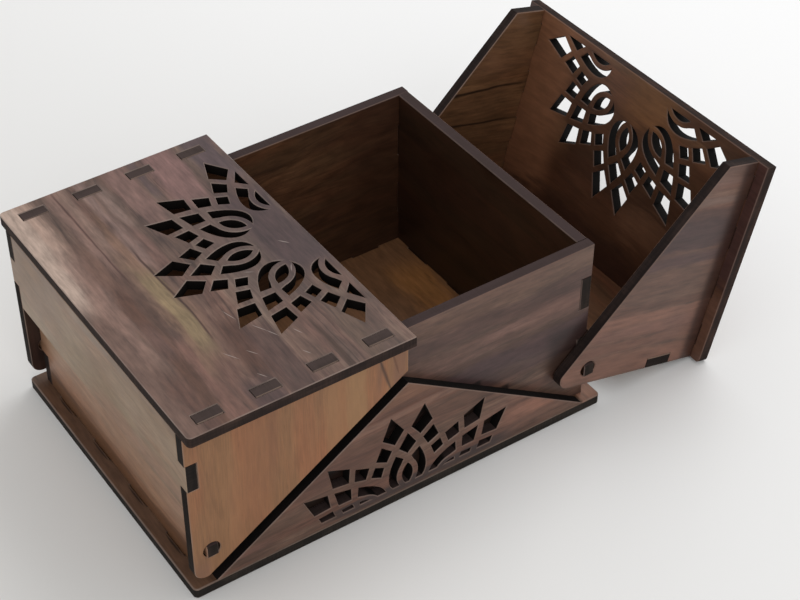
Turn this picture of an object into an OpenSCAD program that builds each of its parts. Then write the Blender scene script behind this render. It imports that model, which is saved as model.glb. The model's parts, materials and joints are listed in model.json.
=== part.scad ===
// Wooden puzzle box with two swinging covers.
//
// Every piece is a flat panel cut from one thickness of sheet. An open-topped box stands on a
// base plate. Each half of the top is a cover: a lid with pierced fretwork, an end wall and two
// side panels. A tongue of the fixed box's end wall passes through the long wall and turns in a
// round hole of the cover's side panel, so the cover swings up and over the end of the box.
//
// Millimetres. +X is along the box, +Y to the back, +Z up. The origin is the centre of the base
// plate's underside. The left cover is drawn closed and the right one open.

/* [Overall] */
// Length of the base plate
box_l = 117; // [104:1:150]
// Width of the base plate
box_w = 86; // [74:1:100]
// Height of the closed box, from the table to the top of the lids
box_h = 54; // [50:0.5:70]
// Thickness of the sheet that every panel is cut from
sheet_t = 3; // [2.4:0.1:3.6]

/* [Fits] */
// Gap between a cover and the fixed box that it runs past
run_gap = 0.3; // [0.2:0.05:0.6]
// Play of a tab, finger or tongue in its slot, on each side
slot_play = 0.05; // [0:0.01:0.1]
// Radial play of a tongue in its round hole
pivot_play = 0.05; // [0.02:0.01:0.1]
// Gap between the two closed lids
lid_gap = 0.6; // [0.3:0.1:1.5]

/* [Covers] */
// How far the base plate stands out past a closed cover's end wall
end_step = 0.3; // [0:0.1:3]
// How far a lid stands out past the side panels
lid_overhang = 3.1; // [0:0.1:5]
// Height of a closed side panel's foot above the base plate
side_lift = 3.1; // [2.6:0.1:7]
// Radius of the side panel's heel, where its slope meets its foot
heel_r = 1.5; // [0.5:0.5:8]
// Radius of the side panel's toe, below the cover's end wall
toe_r = 3; // [0.5:0.5:8]
// Radius of the base plate's corners and of a lid's outer corners
plate_r = 1.2; // [0.2:0.1:2]
// Slit between the slopes of a side panel and of a fixed triangle
slope_slit = 3.7; // [1:0.1:5]
// Height of a cover's end wall below the lid
end_wall_h = 22.7; // [17:0.1:30]
// Height of the end wall's lower edge below its finger
end_finger_up = 6.9; // [3:0.1:8]
// Height of the end wall's finger in each side panel
end_finger_h = 7.7; // [4:0.1:8]
// How far the left cover stands open, as a part of its full swing
left_open = 0; // [0:0.05:1]
// How far the right cover stands open, as a part of its full swing
right_open = 1; // [0:0.05:1]

/* [Pivots] */
// Height of the pivots above the base plate
pivot_up = 11.3; // [10.6:0.1:16]
// Height of a tongue's cross-section
tongue_h = 3.4; // [2.4:0.1:4.4]
// How much is eased off a tongue's corners so that it turns in the hole
tongue_ease = 0.12; // [0.05:0.01:0.3]
// How far a tongue's end stands out of the side panel's face
tongue_proud = 0.7; // [0:0.1:1]
// Height of an open cover's lowest edge above the table
table_gap = 0.05; // [0.05:0.05:1]

/* [Joints] */
// Number of tabs along each edge that stands in another panel
tabs = 4; // [2:1:5]
// Width of a side panel's tabs, which stand in the lid
lid_tab_w = 6.5; // [3:0.1:8]
// Width of the box walls' tabs, which stand in the base plate
foot_tab_w = 8.5; // [4:0.1:12]
// Height of the box walls' corner fingers
finger_h = 9.5; // [6:0.1:11]

/* [Triangles] */
// Height of a triangle above the base plate
tri_h = 34.2; // [28:0.1:38]
// Distance from the base plate's end to a triangle's foot corner
tri_inset = 5.9; // [4.5:0.1:10]

/* [Fretwork] */
// Solid strip between the fretwork and the straight edge that cuts it off
strip_w = 2; // [1:0.1:3]
// Solid margin between a lid's petal tips and the side panel's inner face
lid_margin = 4; // [3:0.1:8]
// Solid margin between a triangle's petal tips and its slope
tri_margin = 1.5; // [1:0.1:3]
// Depth of a triangle's rosette centre below its foot
tri_drop = 10.8; // [9:0.1:13]

/* [Hidden] */
$fn = 96;

// Fixed box, outside faces: walls stand on the base plate, triangles are flush with its edge
base_x = box_l / 2;
base_y = box_w / 2;
wall_x = base_x - end_step - sheet_t - run_gap;
wall_y = base_y - sheet_t;
lid_z = box_h - sheet_t;
rim_z = lid_z - run_gap;

// Covers, closed
cover_x = wall_x + run_gap + sheet_t;
meet_x = lid_gap / 2;
side_y = wall_y + run_gap;
lid_y = side_y + sheet_t + lid_overhang;
end_foot_z = lid_z - end_wall_h;
end_finger_z = end_foot_z + end_finger_up;

// Pivots: the tongue's eased corners lie on a circle about the pivot
pivot_x = wall_x - sheet_t / 2;
pivot_z = sheet_t + pivot_up;
tongue_r = norm([sheet_t, tongue_h]) / 2 - tongue_ease;
hole_r = tongue_r + pivot_play;
tongue_y = side_y + sheet_t + tongue_proud;

// The full swing ends where the lid's outer top edge comes down on the table
edge_out = cover_x - pivot_x;
edge_up = box_h - pivot_z;
full_swing = acos((table_gap - pivot_z) / norm([edge_out, edge_up])) - atan(edge_out / edge_up);

// Corner fingers of the fixed box: the lower one carries the tongue
finger_z = [pivot_z - tongue_h / 2, pivot_z - tongue_h / 2 + 2 * finger_h];

// Triangle and the side panel's slope, which runs beside it
tri_x = base_x - tri_inset;
slope_angle = atan(tri_h / tri_x);
apex_z = sheet_t + tri_h;
slope_top_z = apex_z + slope_slit / cos(slope_angle);
function slope_z(x) = slope_top_z - x * tan(slope_angle);

// The side panel's foot, between its slope and its outer edge; two roundings share its width
FOOT_MIN = 0.8;
FOOT_FLAT = 0.05;
side_foot_z = max(sheet_t + side_lift, slope_z(cover_x - FOOT_MIN));
heel_x = (slope_top_z - side_foot_z) / tan(slope_angle);
foot_w = cover_x - heel_x;
heel_turn = min(heel_r * tan(slope_angle / 2), foot_w / 3);
heel_round = heel_turn / tan(slope_angle / 2);
toe_round = min(toe_r, foot_w - heel_turn - FOOT_FLAT);

// Petal drawing: x along the petal's axis from the rosette's centre, y across it
PETALS = 8;
PETAL_TURN = 360 / PETALS;
SPIKE = [[35.3, 4.6], [29.25, 6.9], [26.4, 3.55], [29.95, 1]];
LEAF = [[27.4, 7.2], [23.6, 8.7], [22.05, 5.75], [24.9, 4.3]];
BRIDGE = [[22, 9], [19.3, 10], [17.95, 7.3], [20.7, 6.5]];
HEART = [[21.95, 0], [24.45, 2.4], [28.4, 0], [24.45, -2.4]];
EYE_X = 15.4;
EYE_OFF = 3.1;
EYE_R = 4.6;
STRAP = 1.5;
CRESCENT_TOP = [22.5, 3.3];
CRESCENT_NOTCH = [20.6, 1.1];
PETAL_R = norm(SPIKE[0]);
TIP_TURN = PETAL_TURN - atan(SPIKE[0][1] / SPIKE[0][0]);

// Rosettes fill the lid's width, and the triangle up to its slope
lid_rosette_r = side_y - lid_margin;
tri_rosette_z = sheet_t - tri_drop;
tri_rosette_r = (apex_z - tri_margin / cos(slope_angle) - tri_rosette_z)
              / (cos(TIP_TURN) + tan(slope_angle) * sin(TIP_TURN));

EPS = 1;

// ---- Curves ----

function arc(c, r, a0, a1, n = 10) =
    [for (i = [0:n]) let (a = a0 + (a1 - a0) * i / n) c + r * [cos(a), sin(a)]];

function bezier(a, b, c, d, n = 10) =
    [for (i = [0:n]) let (t = i / n, u = 1 - t)
        a * u * u * u + 3 * b * u * u * t + 3 * c * u * t * t + d * t * t * t];

// ---- Sheets: a flat drawing, cut from the sheet and stood in its place ----

// Drawn as x, y; its underside is at z
module lying(z) translate([0, 0, z]) linear_extrude(sheet_t) children();

// Drawn as x, z; its face towards -Y is at y
module facing_front(y)
    translate([0, y + sheet_t, 0]) rotate([90, 0, 0]) linear_extrude(sheet_t) children();

// Drawn as y, z; its face towards -X is at x
module facing_end(x)
    translate([x, 0, 0]) rotate([90, 0, 90]) linear_extrude(sheet_t) children();

// Rectangle from corner a to corner b
module block(a, b) translate(a) square(b - a);

module both_sides() {
    children();
    mirror([1, 0]) children();
}

// What rounding takes off a square corner at the origin, whose sheet lies towards -x and -y
module corner_waste(r) difference() {
    block([-r, -r], [EPS, EPS]);
    translate([-r, -r]) circle(r);
}

// A row of equal tabs, or of their slots with play, shared evenly over x0..x1
module tab_row(x0, x1, w, y0, y1, play = 0) {
    pitch = (x1 - x0) / tabs;
    for (i = [0:tabs - 1]) {
        mid = x0 + (i + 0.5) * pitch;
        block([mid - w / 2 - play, y0 - play], [mid + w / 2 + play, y1 + play]);
    }
}

// ---- Fretwork ----

// The crescent between a petal's edge and the ring around its eye
module crescent() {
    ring = arc([EYE_X, -EYE_OFF], EYE_R + STRAP, 54, 137);
    tip = ring[len(ring) - 1];
    polygon(concat(bezier(tip, [11.6, 5.3], [15.8, 6.7], CRESCENT_TOP), [CRESCENT_NOTCH], ring));
}

module eye() intersection() {
    translate([EYE_X, EYE_OFF]) circle(EYE_R);
    translate([EYE_X, -EYE_OFF]) circle(EYE_R);
}

// The cells that are cut out for one petal lying along x
module petal() {
    for (side = [0, 1]) mirror([0, side]) {
        polygon(SPIKE);
        polygon(LEAF);
        crescent();
    }
    polygon(HEART);
    eye();
    polygon(BRIDGE);
}

// Cells of an interlaced rosette of radius r
module rosette(r)
    scale(r / PETAL_R) for (i = [0:PETALS - 1]) rotate(i * PETAL_TURN) petal();

// ---- Fixed box ----

module base_plate() {
    color("saddlebrown") lying(0) difference() {
        block([-base_x, -base_y], [base_x, base_y]);
        for (x = [0, 1], y = [0, 1])
            mirror([x, 0]) mirror([0, y]) translate([base_x, base_y]) corner_waste(plate_r);
        for (side = [0, 1]) {
            mirror([0, side]) tab_row(-wall_x, wall_x, foot_tab_w,
                                      wall_y - sheet_t, wall_y, slot_play);
            mirror([side, 0]) rotate(90) tab_row(sheet_t - wall_y, wall_y - sheet_t, foot_tab_w,
                                                 -wall_x, sheet_t - wall_x, slot_play);
        }
    }
}

// Long wall, notched at both ends for the end walls' fingers
module long_wall(y) facing_front(y) {
    difference() {
        block([-wall_x, sheet_t], [wall_x, rim_z]);
        both_sides() for (z = finger_z)
            block([wall_x - sheet_t - slot_play, z - slot_play],
                  [wall_x + EPS, z + finger_h + slot_play]);
    }
    tab_row(-wall_x, wall_x, foot_tab_w, 0, sheet_t);
}

module inner_front_wall() color("rosybrown") long_wall(-wall_y);

module inner_back_wall() color("rosybrown") long_wall(wall_y - sheet_t);

// End wall between the long walls, with fingers through them and the tongues beyond
module short_wall(x) {
    facing_end(x) {
        block([sheet_t - wall_y, sheet_t], [wall_y - sheet_t, rim_z]);
        for (z = finger_z) block([-wall_y, z], [wall_y, z + finger_h]);
        tab_row(sheet_t - wall_y, wall_y - sheet_t, foot_tab_w, 0, sheet_t);
    }
    intersection() {
        facing_end(x) block([-tongue_y, pivot_z - tongue_h / 2],
                            [tongue_y, pivot_z + tongue_h / 2]);
        translate([x + sheet_t / 2, tongue_y, pivot_z]) rotate([90, 0, 0])
            cylinder(h = 2 * tongue_y, r = tongue_r);
    }
}

module inner_left_wall() color("tan") short_wall(-wall_x);

module inner_right_wall() color("tan") short_wall(wall_x - sheet_t);

module triangle(y) facing_front(y) difference() {
    polygon([[-tri_x, sheet_t], [tri_x, sheet_t], [0, apex_z]]);
    intersection() {
        translate([0, tri_rosette_z]) rotate(90) rosette(tri_rosette_r);
        block([-base_x, sheet_t + strip_w], [base_x, apex_z]);
    }
}

module front_triangle() color("rosybrown") triangle(-base_y);

module back_triangle() color("rosybrown") triangle(base_y - sheet_t);

// ---- Covers: drawn closed, at the right end ----

// Swings a closed right-hand piece open; side is 1 for the right cover and -1 for the left
module on_cover(side, opened)
    translate([side * pivot_x, 0, pivot_z]) rotate([0, side * opened * full_swing, 0])
    mirror([1 - side, 0, 0]) translate([-pivot_x, 0, -pivot_z]) children();

module lid() lying(lid_z) difference() {
    block([meet_x, -lid_y], [cover_x, lid_y]);
    for (side = [0, 1]) mirror([0, side]) {
        tab_row(meet_x, cover_x, lid_tab_w, side_y, side_y + sheet_t, slot_play);
        translate([cover_x, lid_y]) corner_waste(plate_r);
    }
    intersection() {
        translate([meet_x + strip_w, 0]) rosette(lid_rosette_r);
        block([meet_x + strip_w, -side_y], [cover_x, side_y]);
    }
}

// End wall between the side panels, with one finger through each
module end_wall() facing_end(cover_x - sheet_t) {
    block([-side_y, end_foot_z], [side_y, lid_z]);
    block([-side_y - sheet_t, end_finger_z], [side_y + sheet_t, end_finger_z + end_finger_h]);
}

// What rounding takes off the heel
module heel_waste() {
    heel = [heel_x, side_foot_z];
    centre = heel + [heel_turn, heel_round];
    reach = heel_round + EPS;
    difference() {
        polygon([centre, centre - reach * [sin(slope_angle), cos(slope_angle)],
                 2 * heel - centre, centre - [0, reach]]);
        translate(centre) circle(heel_round);
    }
}

// Side panel: its slope follows the triangle's, and its foot is rounded at heel and toe
module side_panel(y) facing_front(y) {
    difference() {
        polygon([[heel_x, side_foot_z], [cover_x, side_foot_z], [cover_x, lid_z],
                 [meet_x, lid_z], [meet_x, slope_z(meet_x)]]);
        heel_waste();
        translate([cover_x, side_foot_z]) mirror([0, 1]) corner_waste(toe_round);
        block([cover_x - sheet_t - slot_play, end_finger_z - slot_play],
              [cover_x + EPS, end_finger_z + end_finger_h + slot_play]);
        translate([pivot_x, pivot_z]) circle(hole_r);
    }
    tab_row(meet_x, cover_x, lid_tab_w, lid_z, box_h);
}

module left_lid() color("rosybrown") on_cover(-1, left_open) lid();

module left_end_wall() color("tan") on_cover(-1, left_open) end_wall();

module left_front_side() color("peru") on_cover(-1, left_open) side_panel(-side_y - sheet_t);

module left_back_side() color("peru") on_cover(-1, left_open) side_panel(side_y);

module right_lid() color("rosybrown") on_cover(1, right_open) lid();

module right_end_wall() color("tan") on_cover(1, right_open) end_wall();

module right_front_side()
    color("rosybrown") on_cover(1, right_open) side_panel(-side_y - sheet_t);

module right_back_side() color("rosybrown") on_cover(1, right_open) side_panel(side_y);

base_plate();
inner_front_wall();
inner_back_wall();
inner_left_wall();
inner_right_wall();
front_triangle();
back_triangle();
left_lid();
left_end_wall();
left_front_side();
left_back_side();
right_lid();
right_end_wall();
right_front_side();
right_back_side();
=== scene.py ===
"""Wooden puzzle box with two swinging covers, finished as laser-cut walnut sheet.

Every sheet keeps its place and shape from the frame. It gets a fine chamfer along its cut
outline and a finish of its own, drawn in the sheet's own directions: across the grain, along
the grain and through the thickness.
"""

import json
import logging
import math
from dataclasses import dataclass, replace
from enum import Enum
from functools import cached_property, partial, reduce
from typing import Optional, Sequence, Union

import bmesh
import bpy
from mathutils import Matrix, Vector


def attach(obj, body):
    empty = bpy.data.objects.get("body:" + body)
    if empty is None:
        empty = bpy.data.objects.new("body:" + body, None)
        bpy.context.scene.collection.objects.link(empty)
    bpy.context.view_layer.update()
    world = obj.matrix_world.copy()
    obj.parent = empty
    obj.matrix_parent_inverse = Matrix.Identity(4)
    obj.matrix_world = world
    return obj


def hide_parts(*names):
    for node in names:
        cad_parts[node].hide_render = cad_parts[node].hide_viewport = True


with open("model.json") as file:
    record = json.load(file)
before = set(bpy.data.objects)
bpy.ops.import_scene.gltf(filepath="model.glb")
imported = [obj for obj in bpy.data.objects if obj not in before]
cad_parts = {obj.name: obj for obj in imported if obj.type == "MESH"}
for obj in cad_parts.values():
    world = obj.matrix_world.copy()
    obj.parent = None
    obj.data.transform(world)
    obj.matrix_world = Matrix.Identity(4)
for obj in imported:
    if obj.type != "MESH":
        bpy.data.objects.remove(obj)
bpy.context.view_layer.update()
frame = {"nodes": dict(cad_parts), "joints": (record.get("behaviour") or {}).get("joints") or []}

MM = 0.001
LOG = logging.getLogger("puzzle_box")

Colour = tuple[float, float, float, float]
Display = tuple[int, int, int]
Socket = bpy.types.NodeSocket
Tree = bpy.types.NodeTree
Sockets = bpy.types.bpy_prop_collection
Link = Union[Socket, float, Sequence[float]]


def paint(red: int, green: int, blue: int) -> Colour:
    """The linear colour, with an alpha of 1, of a display colour of 0 to 255."""
    parts = (value / 255 for value in (red, green, blue))
    return (*(part / 12.92 if part <= 0.04045 else ((part + 0.055) / 1.055) ** 2.4
              for part in parts), 1.0)


def put_in_scene(name: str, data: bpy.types.ID) -> bpy.types.Object:
    """Makes an object of a mesh, a lamp or a camera, in the scene.

    Args:
        name: Its name.
        data: What it shows.

    Returns:
        The object.
    """
    made = bpy.data.objects.new(name, data)
    bpy.context.scene.collection.objects.link(made)
    return made


# ---- Directions ----


class Axis(Enum):
    """A direction of the closed box."""

    X = (1.0, 0.0, 0.0)
    Y = (0.0, 1.0, 0.0)
    Z = (0.0, 0.0, 1.0)

    @property
    def vector(self) -> Vector:
        """The axis as a vector."""
        return Vector(self.value)


@dataclass(frozen=True)
class Swing:
    """How far a cover is turned from its closed place, about the box's Y axis.

    Attributes:
        pivot: A point on the pivot line, in metres.
        angle: Turn about +Y, in degrees.
    """

    pivot: tuple[float, float, float] = (0.0, 0.0, 0.0)
    angle: float = 0.0

    @property
    def turn(self) -> Matrix:
        """The turn as a 3 x 3 matrix."""
        return Matrix.Rotation(math.radians(self.angle), 3, "Y")

    def closed(self, point: Vector) -> Vector:
        """Where a point lies when the cover is closed."""
        centre = Vector(self.pivot)
        return self.turn.transposed() @ (point - centre) + centre

    def swung(self, point: Vector) -> Vector:
        """Where a closed cover's point lies after the swing."""
        centre = Vector(self.pivot)
        return self.turn @ (point - centre) + centre


# ---- Node wiring ----


class Wiring:
    """Adds nodes to one tree and joins them by sockets, numbers or colours."""

    def __init__(self, tree: Tree) -> None:
        """Takes the tree that the nodes go into."""
        self.tree = tree

    def add(self, kind: str, inputs: Optional[dict] = None, **settings: object) -> bpy.types.Node:
        """Adds a node.

        Args:
            kind: Node type, without its ShaderNode prefix.
            inputs: Links or plain values by input name or number.
            **settings: Properties of the node.

        Returns:
            The new node.
        """
        node = self.tree.nodes.new("ShaderNode" + kind)
        for name, value in settings.items():
            setattr(node, name, value)
        for key, value in (inputs or {}).items():
            self.feed(node.inputs[key], value)
        return node

    def feed(self, socket: Socket, value: Link) -> None:
        """Links a socket, or sets its plain value.

        Args:
            socket: The input.
            value: What goes into it.
        """
        if isinstance(value, Socket):
            self.tree.links.new(value, socket)
        else:
            socket.default_value = value

    def maths(self, operation: str, *values: Link) -> Socket:
        """The result of a Math node."""
        return self.add("Math", dict(enumerate(values)), operation=operation).outputs[0]

    def product(self, *values: Link) -> Socket:
        """Numbers multiplied together."""
        return reduce(partial(self.maths, "MULTIPLY"), values)

    def total(self, *values: Link) -> Socket:
        """Numbers added together."""
        return reduce(partial(self.maths, "ADD"), values)

    def less(self, value: Link, amount: Link) -> Socket:
        """A number with another taken from it."""
        return self.maths("SUBTRACT", value, amount)

    def vectors(self, operation: str, *values: Link) -> Socket:
        """The vector result of a Vector Math node."""
        return self.add("VectorMath", dict(enumerate(values)), operation=operation).outputs[0]

    def parts(self, vector: Link) -> Sockets:
        """The three parts of a vector."""
        return self.add("SeparateXYZ", {0: vector}).outputs

    def joined(self, *parts: Link) -> Socket:
        """A vector from its parts; a missing part is 0."""
        return self.add("CombineXYZ", dict(enumerate(parts))).outputs[0]

    def ramp(self, value: Link, low: Link, high: Link, out_low: Link = 0.0,
             out_high: Link = 1.0) -> Socket:
        """A value eased from one range to another, or turned round where high is below low."""
        return self.add("MapRange", {0: value, 1: low, 2: high, 3: out_low, 4: out_high},
                        interpolation_type="SMOOTHSTEP").outputs[0]

    def noise(self, place: Link, stretch: Sequence[float], detail: float = 2.0,
              rough: float = 0.5) -> Socket:
        """A soft noise about 0.5, read at a stretched place, of so many octaves."""
        return self.add("TexNoise", {
            "Vector": self.vectors("MULTIPLY", place, stretch), "Scale": 1.0,
            "Detail": detail, "Roughness": rough}).outputs["Fac"]

    def wave(self, *settings: Link) -> Socket:
        """The same noise about 0."""
        return self.less(self.noise(*settings), 0.5)

    def grey(self, value: Link) -> Socket:
        """A grey of a number."""
        return self.add("CombineColor", {0: value, 1: value, 2: value}).outputs[0]

    def mix(self, share: Link, first: Link, second: Link, blend: str = "MIX") -> Socket:
        """Two colours mixed, with a share of the second."""
        return self.add("Mix", {0: share, 6: first, 7: second}, data_type="RGBA",
                        blend_type=blend).outputs[2]

    def tint(self, share: Link, colour: Link, by: Link) -> Socket:
        """A colour multiplied by another, as far as a share says."""
        return self.mix(share, colour, by, "MULTIPLY")

    def group(self, tree: Tree, **inputs: Link) -> Sockets:
        """The outputs of a group node with its own values."""
        return self.add("Group", inputs, node_tree=tree).outputs

    def overlay(self, mask: Link, strength: float, below: Link, above: Display) -> Socket:
        """A display colour laid over another colour, where a mask is."""
        return self.mix(self.product(mask, strength), below, paint(*above))

    def surface(self, colour: Link, rough: Link, specular: float, **more: Link) -> None:
        """Adds the Principled shader and the material's output."""
        shader = self.add("BsdfPrincipled", {
            "Base Color": colour, "Roughness": rough, "Specular IOR Level": specular, **more})
        self.add("OutputMaterial", {0: shader.outputs[0]})


def bare_wiring(owner: Union[bpy.types.Material, bpy.types.World]) -> Wiring:
    """Clears the nodes of a material or a world.

    Args:
        owner: The material or world.

    Returns:
        Wiring to fill it with.
    """
    owner.use_nodes = True
    owner.node_tree.nodes.clear()
    return Wiring(owner.node_tree)


class GroupMaker:
    """One shader node group with named inputs and outputs."""

    def __init__(self, name: str, takes: dict[str, str], gives: dict[str, str]) -> None:
        """Makes an empty group.

        Args:
            name: The group's name.
            takes: Names of the inputs by socket type: Float, Color or Vector.
            gives: Names of the outputs by socket type.
        """
        self.tree = bpy.data.node_groups.new(name, "ShaderNodeTree")
        for way, sockets in (("INPUT", takes), ("OUTPUT", gives)):
            for kind, labels in sockets.items():
                for label in labels.split():
                    self.tree.interface.new_socket(
                        label, in_out=way, socket_type="NodeSocket" + kind)
        self.wire = Wiring(self.tree)
        self.inputs = list(self.tree.nodes.new("NodeGroupInput").outputs)[:-1]
        self.end = self.tree.nodes.new("NodeGroupOutput")

    def put_out(self, **values: Link) -> Tree:
        """Links the outputs and returns the finished group."""
        for label, value in values.items():
            self.wire.feed(self.end.inputs[label], value)
        return self.tree


# ---- Shared effects ----

SEED_STEPS = (41.3, 17.9, 7.7)
COOL, WARM = (0.95, 1.02, 1.0, 1.0), (1.06, 0.97, 0.94, 1.0)
LINE_BROWN = (0.30, 0.24, 0.24, 1.0)
PORE_BROWN = (0.36, 0.30, 0.28, 1.0)
GROWTH_LINES = 17.0


class SharedEffects:
    """The node groups that every sheet's finish is wired from, each built once.

    Places and widths are in millimetres. A noise's stretch holds its features per millimetre
    across, along and through the sheet.
    """

    @cached_property
    def flow(self) -> Tree:
        """Grain flow: bends straight fibres into the wander of real ones.

        Returns:
            A group that turns a place into distances across and along the grain.
        """
        made = GroupMaker("grain_flow", {"Vector": "Place", "Float": "Wander Seed"},
                          {"Float": "Across Along", "Vector": "Grain"})
        wire, (place, wander, seed) = made.wire, made.inputs
        shift = wire.joined(*(wire.product(seed, step) for step in SEED_STEPS))
        moved = wire.vectors("ADD", place, shift)
        wide = wire.product(wire.wave(moved, (0.035, 0.016, 0.01), 1.0), wander)
        fine = wire.product(wire.wave(moved, (0.17, 0.042, 0.02)), wire.product(wander, 0.55))
        bend = wire.total(wide, fine)
        place = wire.parts(place)
        return made.put_out(Across=wire.total(place[0], bend), Along=place[1],
                            Grain=wire.vectors("ADD", moved, wire.joined(bend)))

    @cached_property
    def figure(self) -> Tree:
        """Walnut figure: broad bands, growth lines, fibres and open pores.

        Returns:
            A group that puts out a colour, a height and how ragged a streak's side is.
        """
        made = GroupMaker(
            "walnut_figure", {"Vector": "Grain", "Color": "Light Middle Dark",
                              "Float": "Bands Mottle Lines Pores"},
            {"Color": "Colour", "Float": "Height Rag"})
        wire, (grain, light, middle, dark, bands, mottle, lines, pores) = made.wire, made.inputs
        broad = wire.wave(grain, (0.085, 0.0085, 0.02), 2.5, 0.55)
        cloud = wire.wave(grain, (0.24, 0.062, 0.05), 3.0, 0.62)
        narrow = wire.wave(grain, (0.72, 0.03, 0.05), 3.0, 0.62)
        fibre = wire.noise(grain, (3.1, 0.13, 0.4), 2.0, 0.6)
        fine = wire.total(wire.product(cloud, 0.85), wire.product(narrow, 0.6))
        tone = wire.total(wire.product(broad, bands), 0.5, wire.product(fine, mottle))
        low = wire.mix(wire.ramp(tone, 0.16, 0.5), dark, middle)
        colour = wire.mix(wire.ramp(tone, 0.5, 0.84), low, light)
        hue = wire.ramp(wire.noise(grain, (0.15, 0.026, 0.02)), 0.36, 0.64)
        colour = wire.tint(1.0, colour, wire.mix(hue, COOL, WARM))
        rag = wire.total(wire.product(fine, 3.4), wire.product(wire.less(fibre, 0.5), 0.7))
        # growth lines are the level lines of a stretched noise
        level = wire.noise(grain, (0.07, 0.0052, 0.02), 1.5, 0.45)
        saw = wire.maths("FRACT", wire.product(level, GROWTH_LINES))
        line = wire.product(wire.ramp(saw, 0.6, 0.93), wire.ramp(saw, 1.0, 0.95))
        some = wire.ramp(wire.noise(grain, (0.11, 0.013, 0.02), 1.0), 0.42, 0.62)
        line = wire.product(line, some, lines)
        colour = wire.tint(line, colour, LINE_BROWN)
        colour = wire.tint(1.0, colour, wire.grey(wire.ramp(fibre, 0.25, 0.75, 0.87, 1.11)))
        pore = wire.noise(grain, (2.3, 0.21, 0.3), 1.0)
        pore = wire.product(wire.ramp(pore, 0.66, 0.74), pores)
        height = wire.less(wire.product(fibre, 0.5),
                           wire.total(wire.product(pore, 0.6), wire.product(line, 0.25)))
        return made.put_out(Colour=wire.tint(pore, colour, PORE_BROWN), Height=height, Rag=rag)

    @cached_property
    def fleck(self) -> Tree:
        """Short flecks and fine fibres.

        Returns:
            A group that puts out a grey to multiply a colour by.
        """
        made = GroupMaker("wood_fleck", {"Vector": "Grain", "Float": "Strength"},
                          {"Color": "Grey"})
        wire, (grain, strength) = made.wire, made.inputs
        short = wire.noise(grain, (0.5, 0.13, 0.1), 3.0, 0.68)
        thin = wire.noise(grain, (1.3, 0.12, 0.1), 2.0, 0.6)
        both = wire.total(wire.product(short, 1.3), wire.product(thin, 0.9))
        lift = wire.product(wire.less(both, 1.1), strength)
        return made.put_out(Grey=wire.grey(wire.total(lift, 1.0)))

    @cached_property
    def streak(self) -> Tree:
        """One band of other colour that runs with the grain and fades at its ends.

        Returns:
            A group that puts out a mask.
        """
        made = GroupMaker(
            "grain_streak", {"Float": "Across Along Rag Centre Width Start End Blur Fade"},
            {"Float": "Mask"})
        wire, (across, along, rag, centre, width, start, end, blur, fade) = made.wire, made.inputs
        ragged = wire.product(rag, wire.product(blur, 1.2))
        off = wire.less(wire.total(across, ragged), centre)
        half = wire.product(width, 0.5)
        off = wire.maths("ABSOLUTE", off)
        wide = wire.ramp(off, wire.total(half, blur), wire.less(half, blur))
        begin = wire.ramp(along, wire.less(start, fade), wire.total(start, fade))
        stop = wire.ramp(along, wire.total(end, fade), wire.less(end, fade))
        return made.put_out(Mask=wire.product(wide, wire.product(begin, stop)))

    @cached_property
    def mark(self) -> Tree:
        """One short scratch or scorch at any angle, thinning to its ends.

        Returns:
            A group that puts out a mask.
        """
        made = GroupMaker("short_mark", {"Vector": "Place Centre", "Float": "Angle Length Width"},
                          {"Float": "Mask"})
        wire, (place, centre, angle, length, width) = made.wire, made.inputs
        local = wire.vectors("SUBTRACT", place, centre)
        turned = wire.add("VectorRotate", {"Vector": local, "Angle": angle},
                          rotation_type="Z_AXIS", invert=True).outputs[0]
        part = wire.parts(turned)
        along = wire.maths("DIVIDE", wire.maths("ABSOLUTE", part[0]), length)
        room = wire.product(width, wire.ramp(along, 0.5, 0.1, 0.05, 1.0))
        mask = wire.ramp(wire.maths("ABSOLUTE", part[1]), room, 0.0)
        return made.put_out(Mask=wire.product(mask, wire.ramp(along, 0.52, 0.42)))

    @cached_property
    def burn(self) -> Tree:
        """Burnt cut face: charred, with fine ridges that run through the thickness.

        Returns:
            A group that puts out a colour and a height.
        """
        made = GroupMaker("burnt_cut", {"Vector": "Place Normal Up", "Color": "Char Brown Sanded"},
                          {"Color": "Colour", "Float": "Height"})
        wire, (place, normal, up, char, brown, sanded) = made.wire, made.inputs
        ridge = wire.noise(place, (1.9, 1.9, 0.05), 2.0, 0.6)
        cloud = wire.noise(place, (0.11, 0.11, 0.3), 2.0, 0.6)
        ply = wire.noise(place, (0.03, 0.03, 1.15), 1.0)
        lines = wire.total(wire.product(ridge, 0.35), wire.product(ply, 0.35))
        share = wire.total(wire.product(cloud, 0.8), lines)
        share = wire.ramp(share, 0.62, 1.02)
        colour = wire.mix(share, char, brown)
        up = wire.add("VectorMath", {0: normal, 1: up}, operation="DOT_PRODUCT").outputs["Value"]
        # Cut faces that look up take a lighter colour: levelled by sanding, and a painted
        # highlight from above.
        sanded = wire.mix(wire.product(share, 0.45), sanded, brown)
        return made.put_out(Colour=wire.mix(wire.ramp(up, 0.88, 0.97), colour, sanded),
                            Height=ridge)

    @cached_property
    def block(self) -> Tree:
        """A block-shaped area, mirrored to both sides of the sheet's middle lines.

        Returns:
            A group that puts out a mask.
        """
        made = GroupMaker("mirrored_block", {"Vector": "Place Centre Half", "Float": "Soft"},
                          {"Float": "Mask"})
        wire, (place, centre, half, soft) = made.wire, made.inputs
        past = place
        for by in (centre, half):
            past = wire.vectors("SUBTRACT", wire.vectors("ABSOLUTE", past), by)
        past = wire.maths("MAXIMUM", *wire.parts(past)[:2])
        return made.put_out(Mask=wire.ramp(past, soft, 0.0))

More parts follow.
